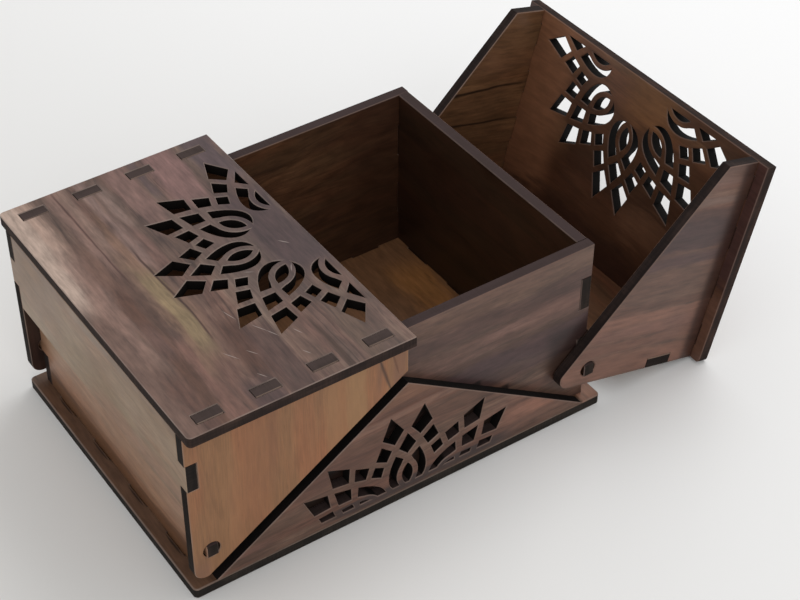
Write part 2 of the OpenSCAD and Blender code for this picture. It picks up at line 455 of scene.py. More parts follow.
    @cached_property
    def wear(self) -> Tree:
        """Edge wear and handling, with a painted highlight: where a chamfer is rubbed and lit
        pale, and a face is dulled.

        Returns:
            A group that puts out a mask of rubbed chamfer with its painted highlight, and a soft
            blotch.
        """
        made = GroupMaker("edge_wear", {"Vector": "Place Normal", "Float": "Rub"},
                          {"Float": "Rubbed Blotch"})
        wire, (place, normal, rub_and_highlight) = made.wire, made.inputs
        flat = wire.maths("ABSOLUTE", wire.parts(normal)[2])
        patch = wire.noise(place, (0.09, 0.09, 0.09), 3.0, 0.65)
        rub_and_highlight = wire.product(wire.ramp(patch, 0.3, 0.62, 0.45, 1.0), rub_and_highlight)
        return made.put_out(Rubbed=wire.product(wire.ramp(flat, 0.95, 0.8), rub_and_highlight),
                            Blotch=wire.noise(place, (0.045, 0.03, 0.05), 3.0, 0.6))


# ---- Finishes ----

EFFECTS = SharedEffects()
RUB_AND_HIGHLIGHT = 0.6
OIL_ROUGHNESS, OIL_SHINE = (0.31, 0.43), 0.36
CUT_ROUGHNESS, CUT_SHINE = 0.8, 0.15
PORE_DEPTH, RIDGE_DEPTH = 0.1 * MM, 0.15 * MM


@dataclass(frozen=True)
class Streak:
    """A band of other colour on a veneer, in millimetres.

    Attributes:
        colour: Display colour, 0 to 255.
        centre: Middle of the band, across the grain.
        width: Width of the band.
        strength: How much of its colour shows.
        blur: Softness of its sides.
        fade: Softness of its ends.
        start: Where it starts, along the grain.
        end: Where it ends.
    """

    colour: Display
    centre: float
    width: float
    strength: float = 0.8
    blur: float = 0.9
    fade: float = 8.0
    start: float = -60.0
    end: float = 60.0


@dataclass(frozen=True)
class UprightStreak(Streak):
    """A streak of a side panel, whose grain stands upright."""

    start: float = -50.0
    end: float = 100.0


@dataclass(frozen=True)
class Mark:
    """A short scratch or scorch, in millimetres.

    Attributes:
        across: Its middle, across the grain.
        along: Its middle, along the grain.
        angle: Its turn from across the grain, in degrees.
        length: Its length.
        width: Half its width.
        colour: Display colour; pale for a scratch, dark for a scorch.
        strength: How much of its colour shows.
    """

    across: float
    along: float
    angle: float
    length: float = 4.0
    width: float = 0.16
    colour: Display = (164, 150, 142)
    strength: float = 0.75


@dataclass(frozen=True)
class SootAndShade:
    """A darkened block, mirrored about both middle lines, in millimetres: some are laser char,
    some painted shade.

    Attributes:
        across: Its middle, across the grain.
        along: Its middle, along the grain.
        wide: Half its width, across the grain.
        high: Half its height, along the grain.
        soft: Softness of its rim.
        colour: Its display colour.
        strength: How much of its colour shows.
    """

    across: float
    along: float
    wide: float
    high: float
    soft: float = 0.35
    colour: Display = (28, 20, 18)
    strength: float = 0.75

    def lay_over(self, wire: Wiring, place: Socket, colour: Socket) -> Socket:
        """Lays the darkened block over a colour.

        Args:
            wire: The material's nodes.
            place: Place on the sheet.
            colour: The colour below.

        Returns:
            The colour with the block laid over it.
        """
        mask = wire.group(EFFECTS.block, Place=place, Centre=(self.across, self.along, 0.0),
                          Half=(self.wide, self.high, 0.0), Soft=self.soft)[0]
        return wire.overlay(mask, self.strength, colour, self.colour)


def rows(kind: type, *values: tuple) -> tuple:
    """A streak, mark or darkened block from each row of values, in its class's own order."""
    return tuple(kind(*row) for row in values)


@dataclass(frozen=True)
class Veneer:
    """One face's wood.

    Attributes:
        light: Display colour of its pale bands.
        middle: Display colour of most of it.
        dark: Display colour of its dark bands.
        bands: How strong the broad bands are.
        mottle: How strong the small clouds and narrow lines are.
        fleck: How strong the short flecks are.
        lines: How strong the growth lines are.
        pores: How strong the open pores are.
        wander: How far the grain strays across, in millimetres.
        seed: Which stretch of wood it is cut from.
        streaks: Bands of other colour, in the order in which they lie.
        marks: Short scratches and scorches.
        burns_and_shade: Blocks that the laser blackened, such as the rims of slots, and blocks of
            painted shade.
    """

    light: Display
    middle: Display
    dark: Display
    bands: float = 1.5
    mottle: float = 1.0
    fleck: float = 0.5
    lines: float = 0.35
    pores: float = 0.35
    wander: float = 7.0
    seed: float = 0.0
    streaks: tuple[Streak, ...] = ()
    marks: tuple[Mark, ...] = ()
    burns_and_shade: tuple[SootAndShade, ...] = ()


@dataclass(frozen=True)
class Lay:
    """How a sheet lies in the frame.

    Attributes:
        origin: A point on its middle plane, in metres.
        turn: Its across, along and through directions, as columns.
        up: The closed box's up, in those directions.
    """

    origin: Vector
    turn: Matrix
    up: Vector

    def turned(self, wire: Wiring, output: str, centre: Sequence[float]) -> Socket:
        """A Texture Coordinate output about a centre, in the sheet's directions."""
        return wire.add("Mapping", {
            "Vector": wire.add("TexCoord").outputs[output], "Location": centre,
            "Rotation": self.turn.to_euler("XYZ")}, vector_type="TEXTURE").outputs[0]

    def place(self, wire: Wiring) -> Socket:
        """Place on the sheet: across, along and through, in millimetres."""
        metres = self.turned(wire, "Object", self.origin)
        return wire.vectors("MULTIPLY", metres, (1 / MM,) * 3)

    def normal(self, wire: Wiring) -> Socket:
        """The surface's normal, in the sheet's directions."""
        return self.turned(wire, "Normal", (0.0, 0.0, 0.0))


@dataclass(frozen=True)
class SheetFinish:
    """A sheet's whole finish: both oiled faces, the eased edge and the burnt cut.

    Attributes:
        name: Name of the finish.
        slot: Material slot of the record that it belongs to; not used.
        outer: Wood of the face that looks out of the closed box.
        inner: Wood of the face that looks in.
        char: Darkest colour of the cut.
        brown: Lighter colour of the cut.
        sanded: Colour of cut ends that look up, levelled by sanding, and lighter also as painted
            light from above.
        cut_soot_and_shade: Where the cut is blackest, if anywhere: laser char, deepened by painted
            shade in small cells.
        chamfer: Colour of the rubbed chamfer, made paler also as a painted highlight.
        ease: Width of the chamfer, in metres.
    """

    name: str
    slot: str
    outer: Veneer
    inner: Veneer
    char: Display = (30, 22, 20)
    brown: Display = (54, 42, 38)
    sanded: Display = (58, 46, 44)
    cut_soot_and_shade: Optional[SootAndShade] = None
    chamfer: Display = (140, 118, 104)
    ease: float = 0.2 * MM

    def wood(self, wire: Wiring, place: Socket, veneer: Veneer) -> tuple[Socket, Socket]:
        """Wires one face's wood.

        Args:
            wire: The material's nodes.
            place: Place on the sheet.
            veneer: The wood.

        Returns:
            Its colour and its height.
        """
        flow = wire.group(EFFECTS.flow, Place=place, Wander=veneer.wander, Seed=veneer.seed)
        figure = wire.group(
            EFFECTS.figure, Grain=flow["Grain"], Light=paint(*veneer.light),
            Middle=paint(*veneer.middle), Dark=paint(*veneer.dark), Bands=veneer.bands,
            Mottle=veneer.mottle, Lines=veneer.lines, Pores=veneer.pores)
        colour, height = figure["Colour"], figure["Height"]
        for band in veneer.streaks:
            mask = wire.group(
                EFFECTS.streak, Across=flow["Across"], Along=flow["Along"], Rag=figure["Rag"],
                Centre=band.centre, Width=band.width, Start=band.start, End=band.end,
                Blur=band.blur, Fade=band.fade)[0]
            colour = wire.overlay(mask, band.strength, colour, band.colour)
        fleck = wire.group(EFFECTS.fleck, Grain=flow["Grain"], Strength=veneer.fleck)[0]
        colour = wire.tint(1.0, colour, fleck)
        for mark in veneer.marks:
            mask = wire.group(
                EFFECTS.mark, Place=place, Centre=(mark.across, mark.along, 0.0),
                Angle=math.radians(mark.angle), Length=mark.length, Width=mark.width)[0]
            colour = wire.overlay(mask, mark.strength, colour, mark.colour)
            height = wire.less(height, mask)
        # Laser-blackened blocks, and blocks of painted shade.
        for burn in veneer.burns_and_shade:
            colour = burn.lay_over(wire, place, colour)
        return colour, height

    def face(self, lay: Lay) -> bpy.types.Material:
        """Makes the oiled wood of both faces, with its rubbed chamfer and its painted highlight.

        Args:
            lay: How the sheet lies.

        Returns:
            The material.
        """
        made = bpy.data.materials.new(self.name + "_face")
        wire = bare_wiring(made)
        place = lay.place(wire)
        outer, outer_height = self.wood(wire, place, self.outer)
        inner, inner_height = self.wood(wire, place, self.inner)
        outside = wire.maths("GREATER_THAN", wire.parts(place)[2], 0.0)
        wear_and_highlight = wire.group(EFFECTS.wear, Place=place, Normal=lay.normal(wire), Rub=RUB_AND_HIGHLIGHT)
        # The pale chamfer is rubbed wear and a painted highlight.
        colour = wire.mix(wear_and_highlight["Rubbed"], wire.mix(outside, inner, outer), paint(*self.chamfer))
        lift = wire.total(wire.product(outside, outer_height),
                          wire.product(wire.less(1.0, outside), inner_height))
        rough = wire.ramp(wear_and_highlight["Blotch"], 0.3, 0.7, *OIL_ROUGHNESS)
        bump = wire.add("Bump", {"Height": lift, "Strength": 0.3, "Distance": PORE_DEPTH})
        wire.surface(colour, rough, OIL_SHINE, Normal=bump.outputs[0])
        return made

    def cut(self, lay: Lay) -> bpy.types.Material:
        """Makes the burnt wood of the cut outline.

        Args:
            lay: How the sheet lies.

        Returns:
            The material.
        """
        made = bpy.data.materials.new(self.name + "_cut")
        wire = bare_wiring(made)
        place = lay.place(wire)
        burn = wire.group(
            EFFECTS.burn, Place=place, Normal=lay.normal(wire), Up=lay.up,
            Char=paint(*self.char), Brown=paint(*self.brown), Sanded=paint(*self.sanded))
        colour = burn["Colour"]
        # Laser char and painted shade, blackest in the small cells.
        if self.cut_soot_and_shade:
            colour = self.cut_soot_and_shade.lay_over(wire, place, colour)
        bump = wire.add("Bump", {
            "Height": burn["Height"], "Strength": 0.5, "Distance": RIDGE_DEPTH})
        wire.surface(colour, CUT_ROUGHNESS, CUT_SHINE, Normal=bump.outputs[0])
        return made


# ---- Sheets ----


@dataclass(frozen=True)
class Sheet:
    """One panel of the box.

    Attributes:
        node: Its node in the frame.
        body: The body that it moves with.
        grain: Direction of its grain, with the covers closed.
        outward: Direction that its outer face looks in, with the covers closed.
        finish: Its finish.
        tongue: How far its tongues are rounded, in metres, if it has any.
    """

    node: str
    body: str
    grain: Axis
    outward: Vector
    finish: SheetFinish
    tongue: float = 0.0

    @property
    def across(self) -> Vector:
        """The direction across the grain, along a positive axis of the box."""
        side = self.grain.vector.cross(self.outward)
        return side if sum(side) > 0 else -side

    def directions(self) -> Matrix:
        """Across, along and through the sheet, as the columns of a turn."""
        along = self.outward.cross(self.across)
        return Matrix((self.across, along, self.outward)).transposed()


@dataclass
class SheetCutter:
    """Gives sheets their chamfers and finishes.

    Attributes:
        weld: Vertices nearer than this are one, in metres.
        level: Faces that meet at less than this angle are one, in degrees.
        smooth_below: Faces that meet at less than this angle are shaded as one, in degrees.
        flat: How squarely a face looks through the sheet, from 0 to 1, to be shaded flat.
    """

    weld: float = 0.001 * MM
    level: float = 0.4
    smooth_below: float = 25.0
    flat: float = 0.99

    @staticmethod
    def bevel(work: bmesh.types.BMesh, edges: list[bmesh.types.BMEdge], width: float,
              segments: int, held: bool) -> None:
        """Bevels edges; held ones stop where they meet."""
        bmesh.ops.bevel(work, geom=edges, offset=width, offset_type="OFFSET", affect="EDGES",
                        segments=segments, profile=0.5, material=-1, clamp_overlap=held)

    def ease_tongues(self, work: bmesh.types.BMesh, along: Vector, width: float) -> None:
        """Sands the two far ends of a sheet, its tongues, a little back and round.

        Args:
            work: The sheet.
            along: Direction from one tongue to the other.
            width: How far round, in metres.
        """
        reach = max(abs(vert.co.dot(along)) for vert in work.verts)
        tips = {vert for vert in work.verts if abs(vert.co.dot(along)) > reach - 0.1 * MM}
        for vert in tips:
            vert.co -= along * math.copysign(0.6 * width, vert.co.dot(along))
        rims = [edge for edge in work.edges if tips.issuperset(edge.verts)
                and len({tips.issuperset(face.verts) for face in edge.link_faces}) == 2]
        self.bevel(work, rims, width, 2, True)
        work.normal_update()

    def chamfered(self, node: str, turn: Matrix, width: float,
                  tongue: float) -> bpy.types.Object:
        """Copies a sheet in one skin, chamfers its outline and tells its cut from its faces.

        Args:
            node: The sheet's node.
            turn: The sheet's across, along and through directions, as it lies.
            width: Width of the chamfer, in metres.
            tongue: How far its tongues are rounded, in metres; 0 for a sheet without any.

        Returns:
            The new piece.
        """
        work = bmesh.new()
        work.from_mesh(frame["nodes"][node].data)
        bmesh.ops.remove_doubles(work, verts=work.verts, dist=self.weld)
        bmesh.ops.dissolve_limit(work, angle_limit=math.radians(self.level), verts=work.verts,
                                 edges=work.edges, use_dissolve_boundaries=False)
        through = turn.col[2]
        if tongue:
            self.ease_tongues(work, turn.col[1], tongue)
        outline = []
        for edge in work.edges:
            looks = sorted(abs(face.normal.dot(through)) for face in edge.link_faces)
            if len(looks) == 2 and looks[0] < 0.5 and looks[1] > 0.9:
                outline.append(edge)
        self.bevel(work, outline, width, 1, False)
        for face in work.faces:
            face.material_index = 0 if abs(face.normal.dot(through)) > 0.4 else 1
        mesh = bpy.data.meshes.new(node + "_sheet")
        work.to_mesh(mesh)
        work.free()
        mesh.set_sharp_from_angle(angle=math.radians(self.smooth_below))
        for polygon in mesh.polygons:
            polygon.use_smooth = abs(polygon.normal.dot(through)) < self.flat
        return put_in_scene(node + "_sheet", mesh)

    def make(self, sheet: Sheet, swing: Swing) -> None:
        """Makes one sheet's piece, dresses it and seats it on its body.

        Args:
            sheet: The sheet.
            swing: How its cover lies in the frame.
        """
        turn = swing.turn @ sheet.directions()
        piece = self.chamfered(sheet.node, turn, sheet.finish.ease, sheet.tongue)
        depths = [swing.closed(point.co).dot(sheet.outward) for point in piece.data.vertices]
        middle = sheet.outward * (min(depths) + max(depths)) / 2
        finish = replace(sheet.finish, name=f"{sheet.finish.name}_{sheet.node}")
        lay = Lay(swing.swung(middle), turn, sheet.directions().transposed() @ Axis.Z.vector)
        piece.data.materials.append(finish.face(lay))
        piece.data.materials.append(finish.cut(lay))
        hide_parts(sheet.node)
        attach(piece, sheet.body)
        LOG.info("%s: %d faces, %s", piece.name, len(piece.data.polygons), finish.name)


# ---- The woods of this box ----

# The first colour and the three blocks below are painted shade: the walls behind the triangles'
# openwork are darkened where the cells fall dark. The second colour is laser scorch.
TRIANGLE_CELL_SHADE, SCORCH = (20, 14, 12), (22, 14, 10)
SHADE_BEHIND_TRIANGLE = rows(
    SootAndShade, (9, 0, 9, 31, 0.8, TRIANGLE_CELL_SHADE, 0.85), (20, 0, 3.5, 22.5, 0.8, TRIANGLE_CELL_SHADE, 0.85),
    (26, 0, 3.5, 11, 0.8, TRIANGLE_CELL_SHADE, 0.85))
# Painted shadow: the shadow and reflection of the cover's side panel on the wall beside its heel,
# mirrored to both ends.
HEEL_PAINTED_SHADOW = SootAndShade(20.5, 51, 5, 5.5, 5, (34, 22, 20), 0.7)
LID_SLOTS = tuple(SootAndShade(across, 41.8, 3.3, 1.55) for across in (7.54, 22.01, 36.49, 50.96))
# Blackens the cut faces of the lids' openwork: laser char, deepened into painted shade inside the
# small cells.
OPENWORK_SOOT_AND_SHADE = SootAndShade(20.5, 0, 19, 38, 0.1, (14, 10, 8), 1)
TAB_FACES = SootAndShade(0, 54.5, 70, 3.3, 0.2, (34, 26, 23), 0.9)

LEFT_LID = Veneer(
    (126, 102, 89), (98, 74, 65), (66, 48, 44), fleck=0.95, bands=1, lines=0.5, wander=3,
    seed=1, burns_and_shade=LID_SLOTS,
    streaks=rows(
        Streak, ((176, 154, 140), -56, 7, 0.93, 1.6, 8, 2),
        ((158, 132, 118), -52.5, 4, 0.88, 1.2, 8, 22),
        ((128, 100, 89), -52.5, 4.5, 0.78, 1.2, 8, -22, 22),
        ((106, 82, 72), -56.5, 5, 0.88, 1.4, 8, -60, -2),
        ((94, 66, 56), -51.5, 5, 0.88, 1.4, 5, -60, -27),
        ((108, 80, 68), -48.3, 3.2, 0.88, 1, 6, 4, 24),
        ((87, 58, 45), -48, 3.4, 0.83, 1.1, 6, -60, 4),
        ((100, 75, 68), -48.5, 2.6, 0.68, 0.9, 4, -22, -10),
        ((128, 100, 90), -45, 2.6, 0.78, 0.9, 8, 12),
        ((85, 62, 52), -45.2, 3, 0.93, 0.9, 5, -14, 8),
        ((114, 81, 70), -45, 3, 0.93, 1, 5, -60, -18),
        ((132, 106, 94), -42.4, 2.6, 0.83, 0.9, 8, 16),
        ((112, 87, 72), -42.4, 2.6, 0.88, 0.9, 6, -8, 16),
        ((122, 94, 76), -42.4, 2.8, 0.93, 0.9, 5, -32, -8),
        ((130, 110, 82), -39.7, 4.4, 0.95, 0.9, 8, -25, 8),
        ((127, 97, 80), -39.6, 2.6, 0.83, 0.8, 5, 8, 24),
        ((103, 76, 60), -39.5, 1.6, 0.78, 0.6, 3, 24, 33),
        ((117, 89, 75), -37, 2.2, 0.88, 0.8, 5, -24, -2),
        ((98, 70, 60), -40, 5.5, 0.78, 1.4, 5, -60, -26),
        ((130, 106, 98), -37, 2.6, 0.73, 0.9, 6, 8),
        ((116, 87, 78), -34.2, 2.2, 0.88, 0.8, 5, 8, 24),
        ((129, 106, 97), -33.6, 2.6, 0.83, 0.8, 5, 24, 42),
        ((76, 49, 38), -33, 4.5, 0.83, 1.3, 4, -40, -18),
        ((68, 50, 49), -36, 7, 0.83, 1.6, 4, -60, -38),
        ((118, 90, 83), -27.5, 6, 0.83, 1.4, 6, 20),
        ((74, 52, 47), -28, 7, 0.78, 1.6, 5, -60, -22), ((83, 65, 64), -22.6, 2, 0.93, 0.8, 4, 30),
        ((121, 90, 85), -16, 9, 0.93, 1.4, 6, 22), ((79, 63, 65), -4.5, 7, 0.93, 1.2, 5, 26),
        ((70, 53, 53), -6, 14, 0.93, 2.5, 5, -14, 22),
        ((87, 72, 67), -19, 12, 0.58, 2.5, 6, -20, 24),
        ((86, 65, 56), -21.5, 4, 0.68, 1.2, 5, -60, -24),
        ((65, 44, 34), -16.5, 1.4, 0.88, 0.5, 4, -60, -28),
        ((93, 72, 60), -9.5, 5, 0.93, 1.3, 4, -60, -30),
        ((80, 60, 52), -5, 5, 0.78, 1.4, 4, -60, -24),
        ((64, 38, 32), -44.4, 0.4, 0.93, 0.25, 4, 6, 46),
        ((57, 32, 25), -37.9, 0.5, 0.93, 0.25, 4, -22, 16)),
    marks=rows(
        Mark, (-27.5, -24.5, 118, 5), (-7, -1.5, 128, 3.4, 0.22), (-37.5, -29, 120, 5),
        (-33, -30.5, 122, 3.6), (-31, -17, 105, 5), (-35, -38, 120, 3), (-21, -30, 112, 3.2),
        (-19.5, -6.5, 150, 2.6), (-10.5, -10.5, 60, 3.2), (-26, -27.5, 115, 4),
        (-23, -37, 118, 2.6)))

RIGHT_LID = replace(
    LEFT_LID, seed=11, wander=5,
    streaks=rows(
        Streak, ((132, 110, 95), 53, 9, 0.75, 2, 10), ((80, 56, 50), 45, 4, 0.75, 1.2, 10),
        ((120, 90, 78), 38, 5, 0.7, 1.5, 10), ((132, 110, 84), 32, 2.6, 0.75, 0.9, 10, -40, 30),
        ((74, 55, 53), 23, 3, 0.75, 1.1, 10), ((84, 66, 64), 7, 11, 0.8, 2.2, 10)),
    marks=rows(Mark, (22, -20, 70, 4), (31, 12, 110, 3)))

LEFT_SIDE = Veneer(
    (150, 108, 74), (140, 96, 64), (126, 84, 57), bands=0.6, fleck=0.22, mottle=0.4, lines=0.15,
    pores=0.2, wander=2.5, seed=2, burns_and_shade=(TAB_FACES,),
    streaks=rows(
        UprightStreak, ((122, 86, 68), -56, 6, 0.6, 1.5, 4, -50, 12),
        ((148, 104, 71), -47, 3, 0.4, 1.2, 8, -50, 40), ((134, 90, 60), -41, 6, 0.5, 2),
        ((124, 83, 57), -36.6, 2.4, 0.6, 1, 8, 26), ((149, 107, 71), -19.5, 5, 0.7, 1.3),
        ((149, 112, 75), -14, 5.5, 0.8, 1), ((118, 84, 61), -8.4, 1.4, 0.6, 0.5, 5, 38),
        ((122, 84, 62), -3, 3.6, 0.8, 0.8)),
    marks=rows(
        Mark, (-6.6, 43.5, 106, 15, 0.75, (58, 36, 25), 0.8),
        (-3.8, 45.5, 104, 9, 0.5, (92, 58, 38), 0.7)))

LEFT_END = Veneer(
    (148, 124, 100), (139, 112, 88), (120, 92, 71), bands=0.7, fleck=0.6, mottle=0.8, lines=0.2,
    pores=0.2, wander=5, seed=5,
    streaks=rows(
        Streak, ((146, 123, 100), 43, 8, 0.8, 2.2, 8, -60, -14),
        ((134, 107, 82), 40, 8, 0.6, 2.2, 6, -12, 4), ((139, 117, 92), 40, 12, 0.6, 2.5, 5, 2, 16),
        ((126, 98, 75), 43, 14, 0.85, 3, 6, 18), ((142, 108, 86), 31.5, 7, 0.8, 1.8, 8, -60, -2),
        ((141, 116, 90), 30, 5, 0.75, 1.6, 6, 6, 40),
        ((126, 105, 88), 50.5, 3, 0.7, 1, 8, -60, 10), ((109, 83, 65), 50.5, 3, 0.7, 1, 6, 14)))

BOX_END = Veneer(
    (158, 122, 97), (148, 111, 87), (124, 88, 66), bands=0.7, fleck=0.6, mottle=0.6, lines=0.2,
    pores=0.2, wander=4, seed=6,
    streaks=rows(
        Streak, ((149, 123, 93), 23, 9, 0.75, 2, 6, 10), ((156, 120, 95), 18, 4.5, 0.6, 1.5),
        ((148, 109, 83), 13.5, 4, 0.7, 1.2), ((124, 87, 63), 9.8, 2.2, 0.85, 0.8),
        # The last streak darkens the foot of the wall: painted shade where it meets the base
        # plate.
        ((98, 66, 44), 4.5, 8, 0.95, 0.8)))

BOX_WALL = Veneer(
    (107, 82, 70), (90, 66, 56), (69, 48, 42), bands=0.8, fleck=0.95, mottle=1.1, lines=0.35,
    pores=0.3, wander=3, seed=7, burns_and_shade=(*SHADE_BEHIND_TRIANGLE, HEEL_PAINTED_SHADOW),
    streaks=rows(
        Streak, ((100, 74, 61), 49, 4, 0.7, 1), ((96, 70, 56), 46, 2.6, 0.6, 0.8),
        ((74, 51, 44), 42, 5, 0.85, 1), ((84, 57, 50), 38.7, 1.6, 0.6, 0.6, 5, -60, -36),
        ((94, 68, 58), 36.3, 3.4), ((114, 84, 74), 36.4, 2.6, 0.85, 0.8, 5, -37, -24),
        ((106, 76, 66), 36, 3.6, 0.75, 0.9, 5, -60, -38), ((96, 69, 60), 33.6, 2, 0.7, 0.8),
        ((74, 52, 44), 30.8, 2.4), ((67, 48, 48), 27, 6, 0.9, 1.2),
        ((74, 56, 56), 22.5, 5, 0.6, 1.2, 6, -60, -34), ((63, 45, 45), 22.5, 5, 0.6, 1.2, 6, -30)))

TRIANGLE = Veneer(
    (118, 88, 74), (96, 67, 54), (76, 51, 39), bands=0.8, fleck=0.8, mottle=1.2, lines=0.3,
    pores=0.3, wander=2.5, seed=8,
    streaks=rows(
        Streak, ((112, 77, 58), 34, 5.5, 0.85, 0.9, 6, -15, 15),
        ((90, 56, 40), 29.7, 0.6, 0.85, 0.25, 5, -18, 18),
        ((117, 85, 70), 28.2, 1.5, 0.85, 0.4, 5, -20, 16),
        ((92, 60, 45), 26.9, 0.6, 0.75, 0.25, 5, -20, 14),
        ((89, 60, 46), 24, 4, 0.6, 1.2, 5, -18, 18), ((84, 56, 45), 20, 6, 0.7, 1.5, 5, 12),
        ((132, 91, 74), 10.5, 4.5, 0.85, 1, 4, -60, -29), ((95, 69, 55), 10.5, 3, 0.7, 1, 4, 28),
        ((112, 80, 66), 6.5, 3.2, 0.7, 1, 4, -60, -29), ((108, 76, 64), 6.8, 2.4, 0.7, 0.8, 4, 38),
        # The last streak darkens the triangle's foot: painted shade.
        ((54, 40, 37), 4.8, 3.2, 0.9, 0.6, 5, -30, 22)))

BASE = Veneer(
    (112, 84, 66), (92, 68, 52), (66, 47, 34), fleck=0.8, bands=1, mottle=0.9, lines=0.3,
    wander=2, seed=9,
    streaks=rows(
        Streak, ((98, 72, 56), -56, 7, 0.8, 1, 5),
        # The streak over the floor inside the walls and the bright patch near the right wall are
        # painted light: the inside floor lit through the open cover.
        ((128, 90, 62), 0, 106.8, 0.95, 0.3, 0.3, -38.4, 38.4),
        ((162, 110, 64), 46, 11, 0.85, 3, 6, 2, 26), ((150, 108, 88), 58, 9, 0.85, 0.4, 1)),
    marks=tuple(Mark(-55.6, along, 90, 9, 0.45, SCORCH, 0.85)
                for along in (-27.75, -9.25, 9.25, 27.75)))

RIGHT_SIDE = Veneer(
    (116, 84, 70), (98, 70, 58), (74, 53, 48), bands=0.7, fleck=0.75, mottle=0.9, lines=0.2,
    pores=0.25, wander=2.5, seed=10, burns_and_shade=(TAB_FACES,),
    streaks=rows(
        UprightStreak, ((94, 68, 58), 1.5, 3, 0.7, 0.8), ((106, 80, 70), 5, 2.4, 0.7, 0.8),
        ((105, 82, 72), 10.3, 1.9, 0.85, 0.6), ((71, 50, 45), 14, 3.5), ((65, 46, 44), 19, 8, 0.9),
        ((77, 54, 52), 25.5, 3.4), ((92, 66, 54), 32, 8, 0.85), ((88, 60, 48), 38, 2.2, 0.8, 0.6),
        ((121, 84, 69), 41.3, 3, 0.9, 0.6), ((113, 79, 67), 45, 3, 0.8, 0.8),
        ((107, 73, 60), 49, 3, 0.8, 0.8), ((117, 81, 66), 54.5, 6, 0.8, 1),
        # The last streak, dark across the top under the lid's overhang, is painted shade and a
        # painted reflection of the overhang.
        ((52, 33, 27), 30, 200, 0.82, 0.5, 1.3, 47)))

DARK_INSIDE = Veneer(
    (76, 54, 47), (60, 42, 36), (44, 31, 27), bands=1.2, lines=0.4, pores=0.3, wander=6, seed=3)

BACK_INSIDE = Veneer(
    (100, 70, 49), (83, 56, 39), (58, 39, 28), fleck=0.9, bands=1.3, lines=0.35, pores=0.3,
    wander=7, seed=13,
    # The streak darkens each wall's inner face towards one end: painted shade.
    streaks=(Streak((55, 34, 24), 26, 70, 0.7, 3, 12, 32, 80),))

# Darker than the other insides: painted shade on the inner faces of the end walls.
END_INSIDE = Veneer(
    (62, 40, 27), (53, 34, 23), (39, 25, 17), bands=1.2, lines=0.3, pores=0.2, wander=7,
    seed=14)

LID_INSIDE = Veneer(
    (112, 78, 56), (98, 66, 46), (76, 50, 34), bands=1.1, fleck=0.6, mottle=0.7, lines=0.3,
    pores=0.25, wander=6, seed=15,
    streaks=rows(
        Streak, ((68, 42, 29), 38, 20, 0.75, 5, 10), ((52, 32, 25), 54, 16, 0.85, 4, 10),
        ((50, 33, 24), 24, 24, 0.5, 3, 5, -34, 34), ((112, 80, 60), 38, 9, 0.7, 2.5, 5, -34, -6),
        ((112, 80, 56), 30, 10, 0.6, 2.5, 4, 20, 34), ((128, 88, 64), 18, 60, 0.8, 4, 4, 24, 43.3),
        ((116, 80, 50), 6, 12, 0.7, 2.5, 5, -14, 2), ((66, 44, 32), 3, 9, 0.7, 2.5, 4, -42, -17),
        # The last three streaks give the lid's inner face beyond the side panels a purple-brown;
        # the warmer brown inside the cover is painted light, bounced within it.
        ((70, 46, 42), 10, 50, 0.95, 3, 0.4, -80, -43.3),
        ((98, 68, 54), 55, 34, 0.95, 3, 0.4, -80, -43.3),
        ((66, 45, 40), 30, 200, 0.95, 0.3, 0.4, 43.3, 80)))

COVER_BACK_INSIDE = Veneer(
    (120, 84, 58), (97, 68, 46), (70, 48, 34), fleck=0.9, bands=1.2, lines=0.35, pores=0.3,
    wander=4, seed=16,
    streaks=rows(
        UprightStreak, ((115, 82, 58), 9, 18, 0.6, 2), ((84, 58, 38), 33, 20, 0.7, 1.6),
        ((29, 18, 12), 22.5, 0.8, 0.9, 0.3), ((29, 18, 12), 33, 0.7, 0.9, 0.3)))

COVER_END_INSIDE = Veneer(
    (116, 80, 57), (104, 70, 50), (78, 52, 37), bands=1.2, lines=0.3, pores=0.25, wander=6,
    seed=17)


# ---- Sub-assemblies ----


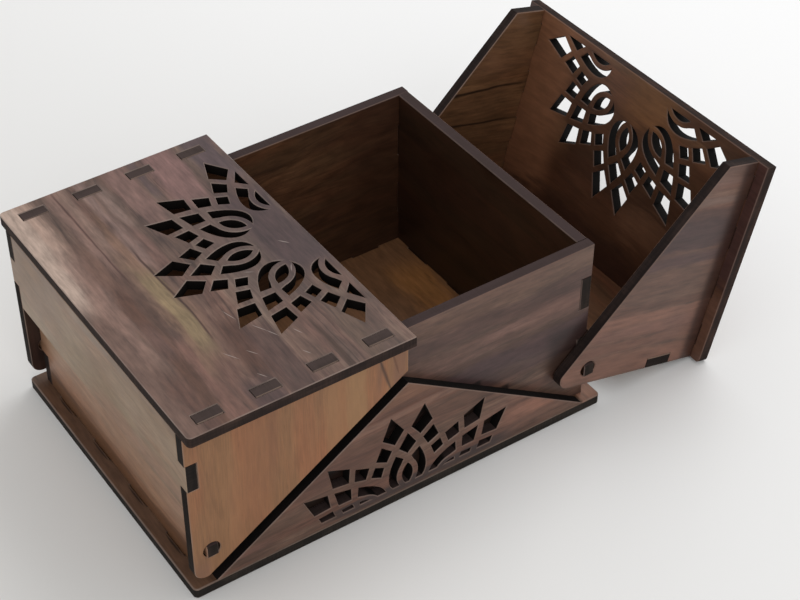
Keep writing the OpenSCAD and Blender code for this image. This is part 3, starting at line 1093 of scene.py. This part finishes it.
@dataclass
class FixedBox:
    """The base plate, the four walls and the two triangles.

    Attributes:
        cutter: What makes the sheets.
        tongue: How far the tongues are rounded, in metres.
        base_finish: Finish of the base plate.
        wall_finish: Finish of the front and back walls.
        end_finish: Finish of the end walls.
        triangle_finish: Finish of the triangles.
    """

    cutter: SheetCutter
    tongue: float = 0.5 * MM
    base_finish: SheetFinish = SheetFinish(
        "oiled_board", "dark_base", BASE, DARK_INSIDE, char=(31, 27, 24), brown=(50, 43, 38),
        chamfer=(112, 96, 86), ease=0.3 * MM)
    wall_finish: SheetFinish = SheetFinish(
        "walnut", "walnut", BOX_WALL, BACK_INSIDE, char=(32, 24, 22), brown=(50, 39, 35),
        sanded=(62, 49, 48), chamfer=(108, 88, 80))
    end_finish: SheetFinish = SheetFinish(
        "olive_walnut", "olive_walnut", BOX_END, END_INSIDE, char=(32, 26, 22),
        brown=(53, 42, 37), sanded=(62, 49, 48), chamfer=(108, 88, 80))
    triangle_finish: SheetFinish = SheetFinish(
        "walnut", "walnut", TRIANGLE, DARK_INSIDE, char=(11, 8, 7), brown=(20, 14, 12),
        chamfer=(128, 106, 95))

    def sheets(self) -> list[Sheet]:
        """Lists the fixed sheets.

        Returns:
            The sheets, from the base plate up.
        """
        x, y = Axis.X.vector, Axis.Y.vector
        return [
            Sheet("base_plate", "base", Axis.Y, Axis.Z.vector, self.base_finish),
            Sheet("inner_front_wall", "base", Axis.X, -y, self.wall_finish),
            Sheet("inner_back_wall", "base", Axis.X, y, self.wall_finish),
            Sheet("inner_left_wall", "base", Axis.Y, -x, self.end_finish, self.tongue),
            Sheet("inner_right_wall", "base", Axis.Y, x, self.end_finish, self.tongue),
            Sheet("front_triangle", "base", Axis.X, -y, self.triangle_finish),
            Sheet("back_triangle", "base", Axis.X, y, self.triangle_finish),
        ]

    def build(self) -> None:
        """Makes and dresses every fixed sheet."""
        for sheet in self.sheets():
            self.cutter.make(sheet, Swing())


class Side(Enum):
    """The two ends of the box, with the sign of X at each."""

    LEFT = -1
    RIGHT = 1


@dataclass
class Cover:
    """A cover: its lid, its end wall and its two side panels.

    Attributes:
        side: Which end of the box it closes.
        cutter: What makes the sheets.
        lid_finish: Finish of its lid.
        end_finish: Finish of its end wall.
        side_finish: Finish of its side panels.
    """

    side: Side
    cutter: SheetCutter
    lid_finish: SheetFinish
    end_finish: SheetFinish
    side_finish: SheetFinish

    @property
    def body(self) -> str:
        """The body that the cover is."""
        return self.side.name.lower() + "_cover"

    def swing(self) -> Swing:
        """Reads how the cover lies in the frame from its joint.

        Returns:
            Its turn from closed.
        """
        joint = next(j for j in frame["joints"] if j["child"] == self.body)
        shut = max(joint["range_deg"], key=abs)
        return Swing(tuple(joint["pos_m"]), 0.0 if self.side is Side.LEFT else -shut)

    def sheets(self) -> list[Sheet]:
        """Lists the cover's sheets.

        Returns:
            The sheets, from the lid down.
        """
        word, out, y = self.side.name.lower(), Axis.X.vector * self.side.value, Axis.Y.vector
        return [
            Sheet(word + "_lid", self.body, Axis.Y, Axis.Z.vector, self.lid_finish),
            Sheet(word + "_end_wall", self.body, Axis.Y, out, self.end_finish),
            Sheet(word + "_front_side", self.body, Axis.Z, -y, self.side_finish),
            Sheet(word + "_back_side", self.body, Axis.Z, y, self.side_finish),
        ]

    def build(self) -> None:
        """Makes and dresses every sheet of the cover."""
        for sheet in self.sheets():
            self.cutter.make(sheet, self.swing())


# ---- Studio ----


@dataclass
class Studio:
    """A pale floor, soft lamps and the camera.

    Attributes:
        floor_reach: Half the floor's width, in metres.
        sky: Brightness of the light from all round.
        camera_place: Where the camera stands, in metres.
        camera_turn: The camera's turn, in degrees.
        lens: Focal length, in millimetres.
        sensor: Width of the camera's sensor, in millimetres.
        shift: The camera's shift.
    """

    floor_reach: float = 3.0
    sky: float = 0.68
    camera_place: tuple[float, float, float] = (-0.17764, -0.29657, 0.32711)
    camera_turn: tuple[float, float, float] = (48.85, 1.961, -31.86)
    lens: float = 83.909
    sensor: float = 36.0
    shift: tuple[float, float] = (0.1375, 0.025)

    def lay_floor(self) -> None:
        """Lays the floor, a little greyer on the left than on the right, as painted shade."""
        work = bmesh.new()
        bmesh.ops.create_grid(work, x_segments=1, y_segments=1, size=self.floor_reach)
        mesh = bpy.data.meshes.new("floor")
        work.to_mesh(mesh)
        work.free()
        made = bpy.data.materials.new("pale_floor")
        wire = bare_wiring(made)
        place = wire.parts(wire.add("TexCoord").outputs["Object"])
        run = wire.total(wire.product(place[0], 0.93), wire.product(place[1], 0.1))
        # Painted shade: the floor greys towards the left.
        colour = wire.mix(wire.ramp(run, -0.22, 0.24), paint(222, 221, 218),
                          paint(250, 250, 250))
        wire.surface(colour, 0.85, 0.1)
        mesh.materials.append(made)
        floor = put_in_scene("floor", mesh)

    def lamp(self, name: str, place: Vector, size: float, watts: float) -> None:
        """Hangs a square lamp that looks at the box.

        Args:
            name: The lamp's name.
            place: Where it hangs, in metres.
            size: Its side, in metres.
            watts: Its power.
        """
        data = bpy.data.lights.new(name, "AREA")
        data.size = size
        data.energy = watts
        lamp = put_in_scene(name, data)
        lamp.location = place
        lamp.rotation_euler = (-place).to_track_quat("-Z", "Y").to_euler()

    def light(self) -> None:
        """Lights the box softly from all round, and a little more from behind and above."""
        world = bpy.data.worlds.new("studio")
        wire = bare_wiring(world)
        sky = wire.add("Background", {"Color": (1.0, 1.0, 1.0, 1.0), "Strength": self.sky})
        wire.add("OutputWorld", {0: sky.outputs[0]})
        bpy.context.scene.world = world
        self.lamp("window", Vector((0.95, 0.35, 1.2)), 1.0, 8.0)
        self.lamp("fill", Vector((-0.4, -1.2, 0.9)), 0.9, 4.0)

    def aim(self) -> None:
        """Sets up the camera."""
        data = bpy.data.cameras.new("camera")
        data.sensor_fit = "HORIZONTAL"
        data.sensor_width = self.sensor
        data.lens = self.lens
        data.shift_x, data.shift_y = self.shift
        data.clip_start, data.clip_end = 0.01, 20.0
        camera = put_in_scene("camera", data)
        camera.location = self.camera_place
        camera.rotation_euler = [math.radians(angle) for angle in self.camera_turn]
        bpy.context.scene.camera = camera

    def build(self) -> None:
        """Sets up the whole studio."""
        self.aim()
        self.lay_floor()
        self.light()
        bpy.context.scene.view_settings.view_transform = "Standard"


def main() -> None:
    """Builds the studio, the fixed box and both covers."""
    logging.basicConfig(level=logging.INFO, format="%(name)s: %(message)s")
    Studio().build()
    cutter = SheetCutter()
    FixedBox(cutter).build()
    Cover(
        Side.LEFT, cutter,
        SheetFinish(
            "streaky_walnut", "walnut_lid", LEFT_LID, DARK_INSIDE, char=(38, 28, 25),
            brown=(60, 45, 39), cut_soot_and_shade=OPENWORK_SOOT_AND_SHADE, chamfer=(148, 130, 120)),
        SheetFinish(
            "olive_walnut", "olive_walnut", LEFT_END, DARK_INSIDE, char=(24, 19, 17),
            brown=(42, 35, 31), chamfer=(150, 132, 116)),
        SheetFinish(
            "orange_walnut", "orange_walnut", LEFT_SIDE, DARK_INSIDE, char=(26, 20, 17),
            brown=(42, 34, 29), sanded=(68, 56, 53))).build()
    Cover(
        Side.RIGHT, cutter,
        SheetFinish(
            "streaky_walnut", "walnut_lid", RIGHT_LID, LID_INSIDE, char=(36, 25, 21),
            brown=(60, 42, 35), cut_soot_and_shade=OPENWORK_SOOT_AND_SHADE, chamfer=(96, 72, 60)),
        SheetFinish(
            "olive_walnut", "olive_walnut", LEFT_END, COVER_END_INSIDE, char=(28, 20, 17),
            brown=(46, 35, 30)),
        SheetFinish(
            "walnut", "walnut", RIGHT_SIDE, COVER_BACK_INSIDE, char=(30, 22, 20),
            brown=(50, 38, 34), chamfer=(118, 94, 82))).build()


if __name__ == "__main__":
    main()
